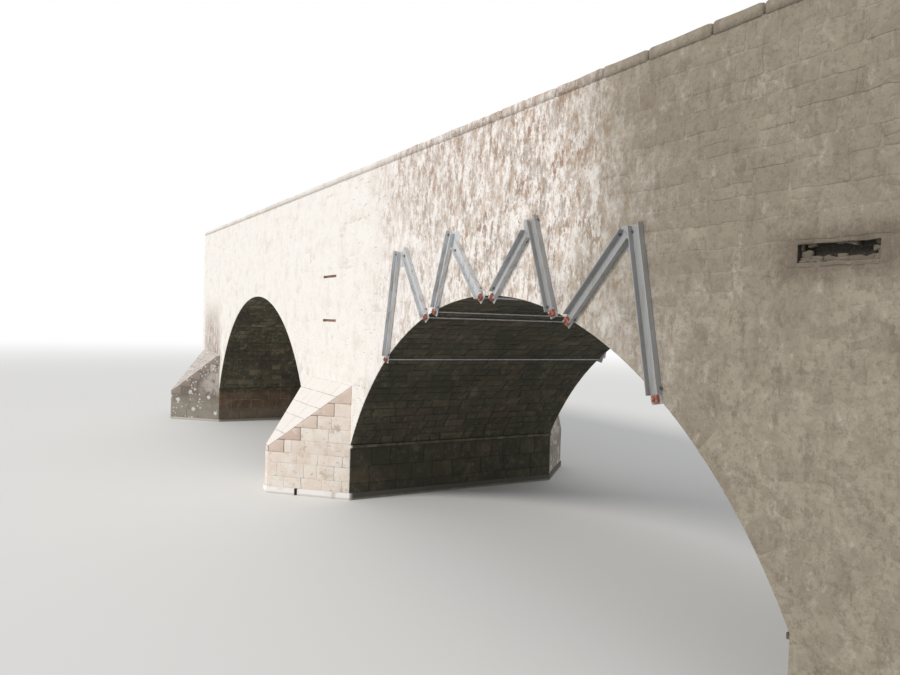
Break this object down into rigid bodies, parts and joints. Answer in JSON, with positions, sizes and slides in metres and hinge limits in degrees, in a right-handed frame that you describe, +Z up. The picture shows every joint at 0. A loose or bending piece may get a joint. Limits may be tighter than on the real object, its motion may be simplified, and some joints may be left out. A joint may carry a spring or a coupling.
{
  "type": "stone arch bridge",
  "caption": "Segmental stone arches on a pier with pointed, sloping-capped cutwaters, carrying a walled road, with a bolted steel strut and tie frame round one arch.",
  "frame": {"origin": "middle of the bounding box at water level, on the pier's centre line", "axes": "+X along the road, +Y across the bridge away from the near face, +Z up"},
  "size_m": [28.5, 8.33, 7.2],
  "materials": {
    "wall_stone": "weathered pale rubble stone",
    "cap_stone": "weathered reddish stone",
    "vault_stone": "dark coursed stone",
    "fill": "rammed earth and rubble",
    "road": "worn road surface",
    "galvanised_steel": "dull galvanised",
    "rusty_iron": "rusted"
  },
  "bodies": {
    "root": {"pier": "wall_stone", "pier_plinth": "wall_stone", "left_plinth": "wall_stone", "pier_impost": "wall_stone", "abutment_left": "wall_stone", "abutment_right": "wall_stone", "impost_left": "wall_stone", "impost_right": "wall_stone", "pier_cutwater_near": "wall_stone", "pier_cutwater_far": "wall_stone", "left_cutwater_near": "wall_stone", "left_cutwater_far": "wall_stone", "ring_near_left": "wall_stone", "ring_near_right": "wall_stone", "ring_far_left": "wall_stone", "ring_far_right": "wall_stone", "spandrel_near_left": "wall_stone", "spandrel_near_middle": "wall_stone", "spandrel_near_right": "wall_stone", "spandrel_far_left": "wall_stone", "spandrel_far_middle": "wall_stone", "spandrel_far_right": "wall_stone", "end_wall_left": "wall_stone", "end_wall_right": "wall_stone", "parapet_near": "wall_stone", "parapet_far": "wall_stone", "coping_near": "wall_stone", "coping_far": "wall_stone", "pier_cap_near": "cap_stone", "pier_cap_far": "cap_stone", "left_cap_near": "cap_stone", "left_cap_far": "cap_stone", "barrel_left": "vault_stone", "barrel_right": "vault_stone", "road_fill": "fill", "road_surface": "road", "struts_near": "galvanised_steel", "struts_far": "galvanised_steel", "foot_plates_near": "galvanised_steel", "foot_plates_far": "galvanised_steel", "head_plates_near": "galvanised_steel", "head_plates_far": "galvanised_steel", "tie_rods": "galvanised_steel", "foot_blocks_near": "rusty_iron", "foot_blocks_far": "rusty_iron"}
  },
  "joints": []
}
